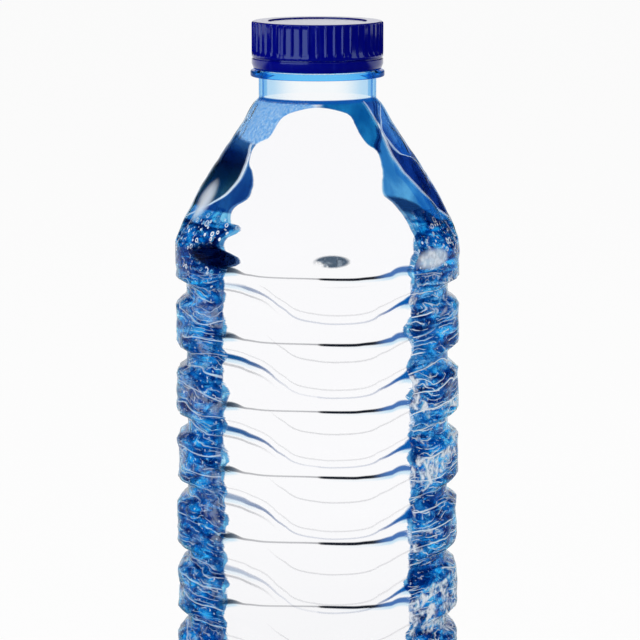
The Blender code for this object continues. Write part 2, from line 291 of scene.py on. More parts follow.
def groove_press(degrees, height):
    """How far the grooves press the wall in at each point."""
    press = np.zeros_like(height)
    rise, mouth, upper, lower, depth = (along(GROOVE_RUN, column, degrees) for column in range(1, 6))
    for level in range(GROOVE_COUNT):
        sweep = TOP_GROOVE_SWEEP if level == GROOVE_COUNT - 1 else 1
        above = height - LOWEST_GROOVE - level * GROOVE_PITCH - rise * sweep
        from_top = (mouth / 2 - above) / (mouth * upper)
        from_foot = (mouth / 2 + above) / (mouth * lower)
        press = np.maximum(press, GROOVE_DEPTH * depth * ease(np.minimum(from_top, from_foot)))
    return press


# %% [markdown]
# ## Panels and folds
#
# Four soft ridges run down the shoulder with flatter panels between them. The folds are what handling did: the wall
# gave way along short lines, and stayed bent. Each fold is a crease with a length, a width, a depth and a tilt. Between
# them the wall ripples, most of all at the two sides, where a hand squeezes a bottle.

# %% Panels on the shoulder
RIDGE_SHARE = 0.06
RIDGE_REACH = 27 * MM
RIDGE_START = SHOULDER_HEIGHT * 0.2


def panel_press(degrees, height):
    """How far the panels between the shoulder's ridges lie inside the round, as a share of the radius."""
    fade = 1 - ease((NECK_BASE - height) / RIDGE_REACH)
    start = ease((NECK_BASE - height) / RIDGE_START)
    return RIDGE_SHARE * abs(np.cos(np.radians(2 * degrees))) * fade * start


# %% Folds in the wall
# Each row: degrees round from the front, height, half length, half width, depth, tilt in degrees.
FOLDS = (
    (-74, 124.0 * MM, 10.0 * MM, 4.2 * MM, 1.0 * MM, 24),
    (-66, 107.5 * MM, 8.5 * MM, 3.6 * MM, 0.9 * MM, -18),
    (-82, 91.5 * MM, 9.5 * MM, 4.0 * MM, 1.0 * MM, 15),
    (-64, 76.0 * MM, 8.5 * MM, 3.6 * MM, 0.9 * MM, -26),
    (-80, 61.0 * MM, 9.5 * MM, 4.0 * MM, 1.0 * MM, 20),
    (62, 123.5 * MM, 9.0 * MM, 3.8 * MM, 0.9 * MM, -22),
    (76, 108.0 * MM, 10.0 * MM, 4.2 * MM, 1.1 * MM, 26),
    (64, 92.0 * MM, 9.0 * MM, 3.6 * MM, 0.9 * MM, -16),
    (80, 76.5 * MM, 9.5 * MM, 4.2 * MM, 1.0 * MM, 28),
    (66, 60.5 * MM, 9.0 * MM, 3.8 * MM, 0.9 * MM, -24),
    (128, 116.0 * MM, 12.0 * MM, 5.0 * MM, 1.3 * MM, 34),
    (-142, 98.5 * MM, 12.5 * MM, 5.0 * MM, 1.3 * MM, -30),
    (168, 84.5 * MM, 13.0 * MM, 5.2 * MM, 1.4 * MM, 22),
    (-118, 52.0 * MM, 11.5 * MM, 4.8 * MM, 1.2 * MM, 18),
    (136, 37.0 * MM, 11.0 * MM, 4.4 * MM, 1.1 * MM, -20),
    (28, 30.0 * MM, 9.5 * MM, 3.8 * MM, 0.9 * MM, 14),
    (-74, 152.0 * MM, 8.0 * MM, 3.4 * MM, 0.8 * MM, 62),
    (76, 150.0 * MM, 8.5 * MM, 3.6 * MM, 0.9 * MM, -58),
    (106, 154.0 * MM, 9.0 * MM, 3.8 * MM, 1.0 * MM, 48),
    (5, 141.8 * MM, 3.6 * MM, 2.0 * MM, 0.8 * MM, 0),
)
DEEPEST_PRESS = 3.1 * MM


def fold_press(degrees, height):
    """How far the folds press the wall in at each point."""
    press = np.zeros_like(height)
    for angle, middle, half_length, half_width, depth, tilt in FOLDS:
        across = np.radians((degrees - angle + 180) % 360 - 180) * BODY_RADIUS
        up = height - middle
        turn = math.radians(tilt)
        lengthwise = (across * math.cos(turn) + up * math.sin(turn)) / half_length
        crosswise = (up * math.cos(turn) - across * math.sin(turn)) / half_width
        near = (abs(lengthwise) < 1) & (abs(crosswise) < 1)
        press += near * depth * (1 - lengthwise**2) * (1 - abs(crosswise))
    return press


# %% Ripples between the folds
RIPPLE_DEPTH = 0.35 * MM
RIPPLE_LENGTH = 9 * MM
RIPPLE_HEIGHT = 4 * MM
FRONT_RIPPLE = 0.02


def side_share(degrees):
    """1 at the left and right of the bottle, where it was squeezed, and near 0 at its front."""
    return ease((1 - np.cos(np.radians(2 * degrees))) / 2 * 1.4 - 0.3)


def ripple_press(degrees, height):
    """Sharp little ridges of crumpled wall, strongest at the sides."""
    folds = np.empty_like(height)
    across = np.radians(degrees)
    reach = BODY_RADIUS / RIPPLE_LENGTH
    for i in range(len(height)):
        spot = (math.sin(across[i]) * reach, math.cos(across[i]) * reach, height[i] / RIPPLE_HEIGHT)
        folds[i] = abs(noise.noise(spot)) + 0.5 * abs(noise.noise((spot[0] * 2, spot[1] * 2, spot[2] * 2)))
    weight = FRONT_RIPPLE + (1 - FRONT_RIPPLE) * side_share(degrees)
    return RIPPLE_DEPTH * weight * np.clip(1 - 2.2 * folds, 0, 1)


# %% Press the wall in
QUIET = 3 * MM


def crushed(piece):
    """Presses grooves, panels, folds and ripples into the wall, and flutes into the base."""
    points = points_of(piece)
    radius = np.hypot(points[:, 0], points[:, 1])
    height = points[:, 2]
    degrees = np.degrees(np.arctan2(points[:, 0], -points[:, 1]))
    on_wall = (height > HEEL_HEIGHT) & (height < NECK_BASE - 0.1 * MM)
    calm = ease((height - HEEL_HEIGHT) / QUIET / 4) * ease((NECK_BASE - height) / QUIET)
    press = groove_press(degrees, height) + fold_press(degrees, height)
    press = np.minimum(press, DEEPEST_PRESS) + calm * ripple_press(degrees, height)
    press += radius * panel_press(degrees, height) * (height > SHOULDER_BASE)
    share = np.where(on_wall, (radius - press) / np.maximum(radius, MM), 1)
    points[:, 0] *= share
    points[:, 1] *= share
    in_base = (height < PUSH_UP_HEIGHT + 2 * BODY_WALL) & (radius < STANDING_RING_INNER)
    swell = np.sin(np.pi * np.clip(radius / STANDING_RING_INNER, 0, 1))
    flute = 0.5 + 0.5 * np.cos(BASE_FLUTES * np.radians(degrees))
    points[:, 2] += in_base * BASE_FLUTE_DEPTH * swell * flute
    move_points(piece, points)


crushed(bottle)
bpy.ops.object.shade_smooth_by_angle(angle=math.radians(80))
print("bottle triangles", sum(len(face.vertices) - 2 for face in bottle.data.polygons))

# %% [markdown]
# ## Threads
#
# The neck has a thread outside and the cap has one inside. A thread is one small section that climbs as it goes round,
# which is what the Screw modifier does. Both run right-handed at the pitch that the part's joint has, so the cap can
# turn off it. The ends are pinched down to nothing, as on a moulded thread.

# %% A ridge that climbs round the neck
THREAD_PITCH = 2.7 * MM
THREAD_TURNS = 1.75
THREAD_STEPS = 80
THREAD_ROOT_SINK = 0.1 * MM
NECK_THREAD_CREST = 13.3 * MM
NECK_THREAD_WIDTH = 1.3 * MM
THREAD_TOP = LIP - 1.2 * MM
THREAD_ANGLE = 0.6


def thread(name, root, crest, width, lowest, start):
    """A helical ridge from its root radius to its crest radius, starting at a height and an angle."""
    bpy.ops.object.select_all(action="DESELECT")
    bpy.ops.mesh.primitive_plane_add(size=MM)
    ridge = bpy.context.object
    ridge.name = name
    bpy.ops.object.mode_set(mode="EDIT")
    bpy.ops.mesh.select_all(action="SELECT")
    bpy.ops.transform.rotate(value=math.pi / 2, orient_axis="X", center_override=(0, 0, 0))
    bpy.ops.object.mode_set(mode="OBJECT")
    corners = points_of(ridge)
    at_crest = (corners[:, 0] > 0) == (crest > root)
    upper = corners[:, 2] > 0
    corners[:, 0] = np.where(at_crest, crest, root)
    corners[:, 1] = 0
    corners[:, 2] = lowest + np.where(upper, 1, -1) * np.where(at_crest, 0.22, 0.5) * width
    move_points(ridge, corners)
    bpy.ops.object.modifier_add(type="SCREW")
    climb = ridge.modifiers[-1]
    climb.angle = 2 * math.pi * THREAD_TURNS
    climb.screw_offset = THREAD_PITCH * THREAD_TURNS
    climb.steps = THREAD_STEPS
    climb.render_steps = THREAD_STEPS
    bpy.ops.object.modifier_apply(modifier=climb.name)
    points = points_of(ridge)
    turned_by = (points[:, 2] - lowest) / THREAD_PITCH
    pinch = ease(turned_by * 9) * ease((THREAD_TURNS - turned_by) * 9)
    radius = np.hypot(points[:, 0], points[:, 1])
    share = (root + (radius - root) * pinch) / radius
    x, y = points[:, 0] * share, points[:, 1] * share
    points[:, 0] = x * math.cos(start) - y * math.sin(start)
    points[:, 1] = x * math.sin(start) + y * math.cos(start)
    move_points(ridge, points)
    bpy.ops.object.mode_set(mode="EDIT")
    bpy.ops.mesh.select_all(action="SELECT")
    bpy.ops.mesh.normals_make_consistent(inside=False)
    bpy.ops.object.mode_set(mode="OBJECT")
    bpy.ops.object.shade_smooth_by_angle(angle=math.radians(35))
    return ridge


THREAD_START = THREAD_TOP - THREAD_PITCH * THREAD_TURNS
neck_root = FINISH_RADIUS - THREAD_ROOT_SINK
neck_thread = thread(
    "neck_thread", neck_root, NECK_THREAD_CREST, NECK_THREAD_WIDTH, THREAD_START, THREAD_ANGLE
)
print("thread points", len(neck_thread.data.vertices))

# %% [markdown]
# ## The cap and its ring
#
# The cap is one moulding: a knurled skirt, a roof whose middle lies a little lower, and a plug that reaches down into
# the bore. The ring below it broke off it when the bottle was first opened, and a low step on the ring reaches almost
# up to the cap. Both are turned as the bottle was. The skirt is then pressed in between narrow ribs that keep its full
# radius.

# %% The cap's section
CAP_ROOF = 1.3 * MM
CAP_BORE = 14.1 * MM
CAP_EDGE = 0.6 * MM
RECESS_RADIUS = CAP_RADIUS - 3.8 * MM
RECESS_DEPTH = 0.25 * MM
PLUG_OUTER = BORE_RADIUS - 0.4 * MM
PLUG_INNER = PLUG_OUTER - 0.8 * MM
PLUG_END = LIP - 2.2 * MM
RIM_HEIGHT = 0.7 * MM
KNURL_COUNT = 48
KNURL_DEPTH = 0.35 * MM
CAP_STEPS = KNURL_COUNT * 12
CAP_THREAD_CREST = 13.0 * MM
CAP_THREAD_WIDTH = 1.1 * MM
roof = CAP_TOP - CAP_ROOF
cap_outline = [
    (0, roof),
    (PLUG_INNER, roof),
    (PLUG_INNER, PLUG_END),
    *arc(((PLUG_INNER + PLUG_OUTER) / 2, PLUG_END), (PLUG_OUTER - PLUG_INNER) / 2, -150, -30, 4),
    (PLUG_OUTER, PLUG_END),
    (PLUG_OUTER - 0.2 * MM, roof),
    (CAP_BORE, roof),
    (CAP_BORE, CAP_BASE),
    (CAP_RADIUS - EDGE / 2, CAP_BASE),
    (CAP_RADIUS, CAP_BASE + EDGE / 2),
    (CAP_RADIUS, CAP_BASE + RIM_HEIGHT),
    (CAP_RADIUS, CAP_BASE + RIM_HEIGHT + KNURL_DEPTH),
    (CAP_RADIUS, CAP_BASE + RIM_HEIGHT + 3 * KNURL_DEPTH),
    (CAP_RADIUS, CAP_TOP - CAP_EDGE - 2 * KNURL_DEPTH),
    *arc((CAP_RADIUS - CAP_EDGE, CAP_TOP - CAP_EDGE), CAP_EDGE, 0, 90, 6),
    (CAP_RADIUS - CAP_EDGE - EDGE / 2, CAP_TOP),
    (RECESS_RADIUS + EDGE, CAP_TOP),
    *arc((RECESS_RADIUS + EDGE / 2, CAP_TOP - EDGE / 2), EDGE / 2, 90, 180, 4),
    (RECESS_RADIUS, CAP_TOP - RECESS_DEPTH + EDGE / 4),
    (RECESS_RADIUS, CAP_TOP - RECESS_DEPTH),
    (RECESS_RADIUS - EDGE / 2, CAP_TOP - RECESS_DEPTH),
    (0, CAP_TOP - RECESS_DEPTH),
]
cap = turned("screw_cap_fine", cap_outline, CAP_STEPS)


# %% Knurls
def knurled(piece):
    """Presses the cap's side in between its ribs, with a short run-out at each end."""
    points = points_of(piece)
    radius = np.hypot(points[:, 0], points[:, 1])
    height = points[:, 2]
    place = np.arctan2(points[:, 1], points[:, 0]) * KNURL_COUNT / (2 * math.pi) % 1
    between = ease(2.6 * (1 - abs(2 * place - 1)))
    foot = ease((height - CAP_BASE - RIM_HEIGHT) / (2 * KNURL_DEPTH))
    head = ease((CAP_TOP - height) / CAP_EDGE)
    outer = radius > CAP_RADIUS - CAP_EDGE
    share = 1 - outer * KNURL_DEPTH * between * foot * head / np.maximum(radius, MM)
    points[:, 0] *= share
    points[:, 1] *= share
    move_points(piece, points)


knurled(cap)
bpy.ops.object.shade_smooth_by_angle(angle=math.radians(60))
cap_thread = thread(
    "cap_thread",
    CAP_BORE + THREAD_ROOT_SINK,
    CAP_THREAD_CREST,
    CAP_THREAD_WIDTH,
    THREAD_START + 0.1 * MM,
    THREAD_ANGLE + math.pi,
)

# %% The ring that broke off
STEP_RISE = 0.25 * MM
FIN_RADIUS = 13.0 * MM
BAND_STEPS = 192
band_outline = [
    (FIN_RADIUS, BAND_BASE),
    (FIN_RADIUS, BAND_BASE + 0.4 * MM),
    (CAP_BORE, BAND_BASE + 0.8 * MM),
    (CAP_BORE, BAND_TOP + STEP_RISE),
    (CAP_RADIUS - EDGE, BAND_TOP + STEP_RISE),
    (CAP_RADIUS - EDGE, BAND_TOP),
    (CAP_RADIUS - EDGE / 2, BAND_TOP),
    (CAP_RADIUS, BAND_TOP - EDGE / 2),
    (CAP_RADIUS, BAND_BASE + 1.3 * MM),
    (CAP_RADIUS - 0.4 * MM, BAND_BASE + 0.15 * MM),
    (CAP_RADIUS - 0.55 * MM, BAND_BASE),
    (FIN_RADIUS, BAND_BASE),
]
band = turned("tamper_band_fine", band_outline, BAND_STEPS)
bpy.ops.object.shade_smooth_by_angle(angle=math.radians(30))

# %% [markdown]
# ## Finishes
#
# Two plastics are made: the clear blue wall, and the deep blue of the cap and its ring. A small class stands for a
# number or a colour on its way through a material, so that a rule can be written as a sum, as 1 - mask. One method adds
# any node.


# %% Shader sums
class Wire:
    """An output socket in a recipe. Sums on it add Math nodes."""

    def __init__(self, recipe, node, output=0):
        self.recipe, self.node, self.output = recipe, node, output

    def pick(self, output):
        return Wire(self.recipe, self.node, output)

    def sum(self, operation, *values):
        return self.recipe.add("ShaderNodeMath", {"operation": operation}, *values)

    def __add__(self, other):
        return self.sum("ADD", self, other)

    def __sub__(self, other):
        return self.sum("SUBTRACT", self, other)

    def __rsub__(self, other):
        return self.sum("SUBTRACT", other, self)

    def __mul__(self, other):
        return self.sum("MULTIPLY", self, other)

    def __truediv__(self, other):
        return self.sum("DIVIDE", self, other)

    def __abs__(self):
        return self.sum("ABSOLUTE", self)

    __radd__ = __add__
    __rmul__ = __mul__

    def power(self, other):
        return self.sum("POWER", self, other)

    def largest(self, other):
        return self.sum("MAXIMUM", self, other)

    def curve(self, rows, handles="AUTO_CLAMPED"):
        """This value read off a smooth curve through (value, result) rows."""
        low, high = rows[0][0], rows[-1][0]
        results = [row[1] for row in rows]
        least, most = min(results), max(results)
        share = self.recipe.add("ShaderNodeMapRange", None, self, low, high)
        node = self.recipe.add("ShaderNodeFloatCurve", None, 1.0, share).node
        line = node.mapping.curves[0]
        while len(line.points) < len(rows):
            line.points.new(0.5, 0.5)
        for point, (value, result) in zip(line.points, rows):
            point.location = ((value - low) / (high - low), (result - least) / (most - least))
            point.handle_type = handles
        node.mapping.update()
        return Wire(self.recipe, node) * (most - least) + least

    def step(self, low, high):
        """A smooth step from 0 to 1 as this goes from low to high."""
        kind = {"interpolation_type": "SMOOTHSTEP"}
        return self.recipe.add("ShaderNodeMapRange", kind, self, low, high)


class Recipe:
    """A material under construction, around a Principled shader."""

    def __init__(self, name):
        self.material = bpy.data.materials.new(name)
        self.material.use_nodes = True
        self.tree = self.material.node_tree
        self.shader = self.tree.nodes["Principled BSDF"]

    def connect(self, value, socket):
        """Links a wire to a socket, or sets a plain value on it."""
        if isinstance(value, Wire):
            self.tree.links.new(value.node.outputs[value.output], socket)
        elif value is not None:
            socket.default_value = value

    def add(self, kind, settings=None, *values, **named):
        """Adds a node, sets what it is told, then fills its inputs in order and by name."""
        node = self.tree.nodes.new(kind)
        stops = (settings or {}).pop("stops", None)
        for setting, value in (settings or {}).items():
            setattr(node, setting, value)
        if stops:
            ramp = node.color_ramp
            while len(ramp.elements) < len(stops):
                ramp.elements.new(0.5)
            for element, (place, colour) in zip(ramp.elements, stops):
                element.position = place
                element.color = (*colour, 1)
        for socket, value in zip(node.inputs, values):
            self.connect(value, socket)
        for name, value in named.items():
            self.connect(value, node.inputs[name.replace("_", " ")])
        return Wire(self, node)

    def set(self, **named):
        for name, value in named.items():
            self.connect(value, self.shader.inputs[name.replace("_", " ")])

    def place(self, scale=(1, 1, 1)):
        """Object coordinates, stretched."""
        spot = self.add("ShaderNodeTexCoord").pick("Object")
        return self.add("ShaderNodeMapping", None, spot, None, None, scale)

    def noise(self, scale, detail=2.0, stretch=(1, 1, 1), distortion=0.0):
        """Fractal noise on the object, scale in repeats a metre."""
        return self.add(
            "ShaderNodeTexNoise",
            None,
            Vector=self.place(stretch),
            Scale=scale,
            Detail=detail,
            Distortion=distortion,
        )

    def blend(self, share, first, second):
        """A colour from first to second."""
        mix = self.add("ShaderNodeMix", {"data_type": "RGBA"})
        self.connect(share, mix.node.inputs[0])
        self.connect(first if isinstance(first, Wire) else (*first, 1), mix.node.inputs[6])
        self.connect(second if isinstance(second, Wire) else (*second, 1), mix.node.inputs[7])
        return mix.pick(2)


class Sky(Recipe):
    """The world, around its Background shader."""

    def __init__(self, world):
        self.tree = world.node_tree
        self.shader = self.tree.nodes["Background"]


def srgb(red, green, blue):
    """A colour given as it looks on screen, from 0 to 255."""
    shares = (red / 255, green / 255, blue / 255)
    return tuple(s / 12.92 if s <= 0.04045 else ((s + 0.055) / 1.055) ** 2.4 for s in shares)


# %% [markdown]
# ### The bottle's clear plastic
#
# Seen straight on, the thin wall is almost without colour. Seen edge on, light goes a long way through it and comes out
# deep blue. A Layer Weight node tells the two apart. It reads the direction away from the bottle's axis and not the
# dented surface, so the blue starts on one crisp line down each side, as it does on the real wall. On the shoulder the
# clear part is an arched window between the panels, so its edge is read off a curve by height, one for each side.

# %% Where the wall turns blue
# Each row: height in millimetres, degrees round from the middle of the sight at which the blue starts.
LEFT_WINDOW = (
    (0, 42),
    (134, 42),
    (137.5, 42),
    (140, 37.5),
    (141.5, 33),
    (143, 38),
    (145, 45),
    (148, 41),
    (151.7, 42.5),
    (155.7, 35),
    (160.8, 39),
    (165, 44),
    (167.5, 36),
    (171.7, 31),
    (174.2, 14),
    (174.8, 0),
    (176, 0),
)
RIGHT_WINDOW = (
    (0, 42),
    (138, 42),
    (144, 46),
    (148, 44.5),
    (151, 42),
    (154.4, 38),
    (156.4, 35),
    (159.7, 37.5),
    (164.2, 40),
    (166, 36),
    (168.8, 31.5),
    (172.2, 29),
    (174.2, 14),
    (174.8, 0),
    (176, 0),
)


def window_curve(rows):
    """What Facing reads at the edge of the window, by height, for an eye a little above the cap."""
    edge = []
    for height_mm, degrees in rows:
        seen_from_above = 0.96 + 0.0002 * height_mm
        edge.append((height_mm * MM, 1 - math.cos(math.radians(degrees)) * seen_from_above))
    return height.curve(edge)


# %% Parts of the wall as masks
BODY_ENDS = (134 * MM, 140 * MM)
PANELS_START = (146.5 * MM, 148 * MM)

clear = Recipe("clear_blue_plastic")
axes = clear.add("ShaderNodeSeparateXYZ", None, clear.add("ShaderNodeTexCoord").pick("Object"))
across, depth, height = axes.pick("X"), axes.pick("Y"), axes.pick("Z")
turned_to = across.sum("ARCTAN2", across, 0 - depth) * (180 / math.pi)
outward = clear.add("ShaderNodeVectorMath", {"operation": "NORMALIZE"})
clear.connect(clear.add("ShaderNodeCombineXYZ", None, across, depth, 0.0), outward.node.inputs[0])
kind = {"vector_type": "NORMAL", "convert_from": "OBJECT", "convert_to": "WORLD"}
outward = clear.add("ShaderNodeVectorTransform", kind, outward)
facing = clear.add("ShaderNodeLayerWeight", None, 0.5, outward).pick("Facing")
to_left = (0 - across).step(-0.5 * MM, 0.5 * MM)
on_body = 1 - height.step(*BODY_ENDS)
on_panels = height.step(*PANELS_START)
far_half = depth.step(-3 * MM, 3 * MM)
ragged = (clear.noise(150, 3.0, stretch=(0.12, 0.0, 1.6)) - 0.5) * 0.11 * (0.3 + 0.7 * on_body)
right_edge, left_edge = window_curve(RIGHT_WINDOW), window_curve(LEFT_WINDOW)
boundary = clear.add("ShaderNodeMix", None, to_left, None, right_edge, left_edge)
boundary = boundary + ragged + far_half * (on_panels * 0.10 + height.step(162 * MM, 168 * MM) * 0.6)
on_neck = height.step(NECK_BASE - 0.3 * MM, NECK_BASE + 0.1 * MM)
edge_on = facing.step(boundary - 0.004, boundary + 0.007) * (1 - on_neck)

# %% [markdown]
# ### Creases across the wall
#
# Where the grooves cross the front, their edges bend light away and show as long dark lines. They run level at the
# sides, swing down across the front and thin out to a hair. A real line of this kind is only a fraction of a millimetre
# wide, too fine for the mesh, so the material draws it: one curve gives its rise round the bottle, one its width and
# one its strength, and it repeats up the body. Fainter lines run beside it and halfway to the next.

# %% Crease lines
LINE_PITCH = 16.35 * MM
FIRST_LINE = 110.8 * MM
LINES_START = (16 * MM, 22 * MM)
LINES_END = (135.5 * MM, 136.5 * MM)
# Each row: degrees round from the front, rise, half width, strength.
CREASES = (
    (-180, 1.2, 0.20, 0.55),
    (-164, 1.7, 0.20, 0.45),
    (-148, 3.2, 0.26, 0.50),
    (-131, 5.4, 1.00, 1.00),
    (-90, 6.0, 1.00, 0.90),
    (-60, 7.8, 0.90, 1.00),
    (-42, 8.4, 0.66, 1.00),
    (-28, 7.4, 0.48, 0.95),
    (-14, 3.4, 0.22, 0.50),
    (-2, 0.7, 0.17, 0.30),
    (12, 0.2, 0.16, 0.28),
    (26, 1.7, 0.22, 0.55),
    (38, 3.9, 0.70, 1.00),
    (46, 4.7, 1.40, 1.00),
    (90, 5.6, 1.00, 0.90),
    (134, 5.4, 0.90, 0.90),
    (147, 3.3, 0.70, 0.90),
    (159, 1.7, 0.42, 1.00),
    (170, 1.1, 0.38, 1.00),
    (177, 1.1, 0.34, 1.00),
    (180, 1.2, 0.22, 0.60),
)
to_front = 1 - abs(turned_to).step(50, 62)
sway = (clear.noise(26, 1.0, stretch=(0.15, 0.15, 1)) - 0.5) * 5 * MM
rise = turned_to.curve([(row[0], row[1] * MM) for row in CREASES], "AUTO") + sway
rise = rise - far_half * height.step(122 * MM, 132 * MM) * 1.1 * MM
half_width = turned_to.curve([(row[0], row[2] * MM) for row in CREASES])
strength = turned_to.curve([(row[0], row[3]) for row in CREASES])
# No two rows look alike: the line that swings in from the left is weaker on some of them.
weaker = clear.noise(52, 0.0, stretch=(0, 0, 1)).step(0.42, 0.56) * to_left * (1 - far_half)
strength = strength * (1 - weaker * 0.55)
grooved = height.step(*LINES_START) * (1 - height.step(*LINES_END))


def crease(offset, half):
    """1 on a line that repeats up the body, this far above the main one."""
    turns = (height - FIRST_LINE - rise - offset) / LINE_PITCH + 0.5
    away = abs(turns.sum("FRACT", turns) - 0.5) * LINE_PITCH
    return (1 - away.step(half * 0.5, half * 1.1 + 0.06 * MM)) * grooved


main_lines = crease(0.0, half_width) * strength
between = crease(8.1 * MM, 0.17 * MM) * turned_to.step(-22, -12) * 0.24
above = crease(1.7 * MM, 0.15 * MM) * 0.2
beside = crease(-1.7 * MM, 0.26 * MM) * (1 - turned_to.step(-30, -14)) * 0.4
faint_lines = between.largest(above).largest(beside) * to_front
fringe = crease(-0.45 * MM, half_width * 1.5) * strength * half_width.step(0.3 * MM, 0.7 * MM) * 0.5

# %% Colour of the lines
LINE_BLUE = srgb(14, 82, 146)
LINE_BRIGHT_BLUE = srgb(12, 92, 172)
LINE_BLACK = srgb(16, 22, 34)
LINE_NAVY = srgb(6, 26, 56)

at_back = abs(turned_to).step(146, 156)
# The lines' colour is painted shade, where the groove edges bend light away.
line_shade = clear.blend(at_back, LINE_BLUE, LINE_BLACK)
line_shade = clear.blend(turned_to.step(20, 40) * (1 - turned_to.step(146, 156)), line_shade, LINE_BRIGHT_BLUE)
line_shade = clear.blend(far_half * to_left, line_shade, LINE_NAVY)

# %% [markdown]
# ### Blue sides
#
# Crumpled wall at the sides shows patches of deep and bright blue, painted as the light and shade of its crumples.
# White glints are painted over it: the thin crests of a distorted wave, which run about level, wander and break off.
# A second mask paints fine ring-shaped glints above the first groove.

# %% Blue of the body
INK_BLUE = srgb(6, 82, 148)
NAVY = srgb(16, 128, 196)
DEEP = srgb(46, 158, 218)
AZURE = srgb(112, 212, 250)
STREAK = srgb(150, 220, 252)
THIN_EDGE_DARK = srgb(6, 50, 116)
THIN_EDGE_BRIGHT = srgb(34, 118, 190)

to_side = abs(across).step(14 * MM, 20 * MM)
# Painted light and shade: noise picks deep and bright blue patches, and azure streaks of painted light run over them.
patches = clear.noise(84, 5.0, stretch=(1, 1, 4.0), distortion=1.2).step(0.40, 0.62)
BLUES = [(0.0, INK_BLUE), (0.36, NAVY), (0.62, DEEP), (1.0, AZURE)]
body_blue = clear.add("ShaderNodeValToRGB", {"stops": BLUES}, patches)
azure_streaks = clear.noise(130, 3.0, stretch=(1, 1, 6), distortion=0.8).step(0.56, 0.62) * 0.8
body_blue = clear.blend(azure_streaks, body_blue, STREAK)
# Close to the window's edge only one face of the wall is blue, so it takes the depth of two.
edge_blue = clear.blend(patches, THIN_EDGE_DARK, THIN_EDGE_BRIGHT)
body_blue = clear.blend(facing.step(boundary + 0.03, boundary + 0.045), edge_blue, body_blue)


# %% Lines and ovals
def line(away, half, soft):
    """1 where a distance is within this half width."""
    return 1 - abs(away).step(half, half + soft)


def mark(angle, middle, half_length, half_height, tilt=0.0, softest=0.5):
    """1 inside a soft oval on the wall."""
    along_wall = (turned_to - angle) * (math.radians(1) * BODY_RADIUS)
    up_wall = height - middle
    turn = math.radians(tilt)
    lengthwise = (along_wall * math.cos(turn) + up_wall * math.sin(turn)) / half_length
    crosswise = (up_wall * math.cos(turn) - along_wall * math.sin(turn)) / half_height
    return 1 - (lengthwise * lengthwise + crosswise * crosswise).step(softest, 1.1)


# %% Painted glints along the crumpled wall
waves = clear.add(
    "ShaderNodeTexWave",
    {"bands_direction": "Z"},
    Vector=clear.place((0.55, 0.55, 1)),
    Scale=230,
    Distortion=20,
    Detail=3.0,
    Detail_Scale=0.55,
)
scribbles = waves.pick("Fac").step(0.92, 0.985)
broken = clear.noise(130, 3.0, stretch=(1, 1, 2.0)).step(0.47, 0.55)
long_waves = clear.add(
    "ShaderNodeTexWave",
    {"bands_direction": "Z"},
    Vector=clear.place((0.5, 0.5, 1)),
    Scale=70,
    Distortion=7,
    Detail=2.0,
    Detail_Scale=0.9,
)
long_lines = long_waves.pick("Fac").step(0.988, 0.997) * clear.noise(60, 1.0).step(0.42, 0.50)
# Painted glints: thin white wave crests, broken up, fewer on the left.
glint_lines = (scribbles * broken * 0.8).largest(long_lines) * on_body * (1 - to_left * 0.55)

# %% Painted sparkle, ring glints, hazy glare and ovals
low_enough = 1 - height.step(147 * MM, 152 * MM)
# Painted light on the sides: fine sparkle, ring-shaped glints, mottled hazy glare and a pale oval of glare.
sparkle = clear.noise(900, 2.0, stretch=(1, 1, 1.3)).step(0.62, 0.72) * 0.5 * low_enough
cells = clear.add("ShaderNodeTexVoronoi", None, Vector=clear.place(), Scale=560)
ring_size = clear.add("ShaderNodeSeparateColor", None, cells.pick("Color")) * 0.3 + 0.08
ring_glints = line(cells.pick("Distance") - ring_size, 0.03, 0.08) * clear.noise(150, 2.0).step(0.44, 0.54)
ring_glints = ring_glints * (1 - on_body) * low_enough
mottle = clear.noise(700, 2.0).step(0.35, 0.65)
hazy_glare = clear.noise(60, 3.0, stretch=(1, 1, 1.8), distortion=1.0).step(0.53, 0.60) * mottle * on_body
hazy_glare = hazy_glare * (1 - to_left * 0.85)
pale_glare_oval = mark(53, 140.8 * MM, 7.0 * MM, 2.6 * MM, 0, 0.2) * (mottle * 0.4 + 0.55)
# A dark navy oval of painted shade; the glints stay out of it.
shade_oval = mark(-44, 141.8 * MM, 12.0 * MM, 3.0 * MM, 0, 0.4)
painted_glints = glint_lines.largest(sparkle).largest(ring_glints * 0.85).largest(hazy_glare).largest(pale_glare_oval)
painted_glints = painted_glints * edge_on * to_side * (1 - shade_oval)

# %% [markdown]
# ### Panels of the shoulder
#
# The shoulder's panels catch the light in clean shapes with curved edges: a frosted corner high on the left over a
# nearly black panel, and on the right a plain blue corner over a bright panel and a dark one. This light and shade is
# painted: each edge is a curve of angle by height, and what lies on either side of it gets its own blue.

# %% Edges of the panels
# Each row: height in millimetres, degrees round from the front.
LEFT_EDGE = (
    (147, 92),
    (150.1, 75),
    (153, 58),
    (156.4, 48),
    (160.7, 44),
    (164, 45),
    (166.3, 47),
    (176, 47),
)
RIGHT_EDGE = (
    (147, 88),
    (152.1, 71),
    (156.6, 60),
    (161.8, 52),
    (164.5, 50.5),
    (168, 51),
    (171.5, 60),
    (176, 92),
)
CORNER_EDGE = ((147, 40), (164.2, 40), (168.3, 48), (171.5, 55), (176, 74))
HIGH_EDGE = ((147, 95), (161.5, 80), (163, 68), (164.1, 59), (167, 54), (176, 50))
# Each row: degrees round from the front, height in millimetres.
LOWER_EDGE = ((0, 157), (37, 155.7), (50, 154.1), (59, 151.4), (75, 148.5), (180, 147))
# Degrees over which one panel passes into the next.
EDGE_BLUR = (-0.5, 1.0)


def past(rows, angle):
    """Degrees by which this angle is past a panel's edge."""
    return angle - height.curve([(row[0] * MM, row[1]) for row in rows])


past_left = past(LEFT_EDGE, 0 - turned_to)
past_right = past(RIGHT_EDGE, turned_to)
past_corner = past(CORNER_EDGE, turned_to)
past_high = past(HIGH_EDGE, turned_to)
below = turned_to.curve([(row[0], row[1] * MM) for row in LOWER_EDGE]) - height

